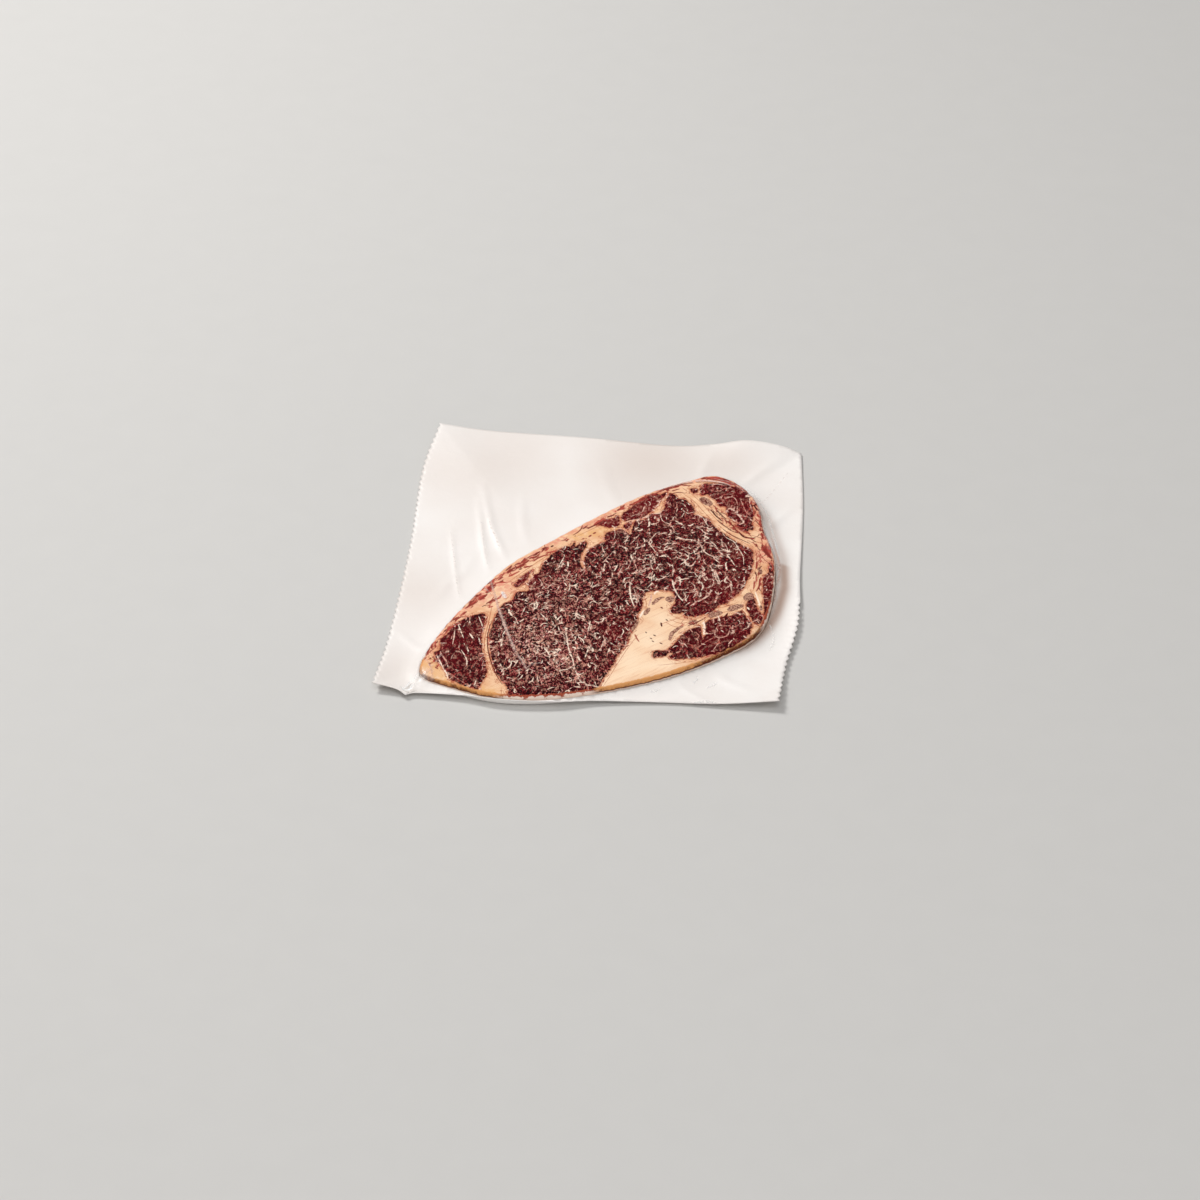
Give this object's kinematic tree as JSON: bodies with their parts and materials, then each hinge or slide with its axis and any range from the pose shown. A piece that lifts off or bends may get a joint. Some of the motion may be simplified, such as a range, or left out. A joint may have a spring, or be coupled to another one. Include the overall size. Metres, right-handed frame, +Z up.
{
  "type": "vacuum-packed raw ribeye steak",
  "caption": "Raw marbled ribeye steak sealed in a flat vacuum pouch, with an opaque white web under the meat and a clear film over it.",
  "frame": {"origin": "middle of the footprint of the pouch's bounding box, on the surface that it lies on", "axes": "+Z up through the steak, +Y along the pouch's long side towards the wide empty end, +X along its short side"},
  "size_m": [0.2276, 0.2628, 0.0115],
  "materials": {
    "raw_meat": "dark red raw beef with cream fat, moist",
    "white_web": "opaque warm white pouch film, smooth",
    "clear_film": "clear tight pouch film, glossy"
  },
  "bodies": {
    "root": {"steak": "raw_meat", "white_web": "white_web", "clear_film": "clear_film"}
  },
  "joints": []
}
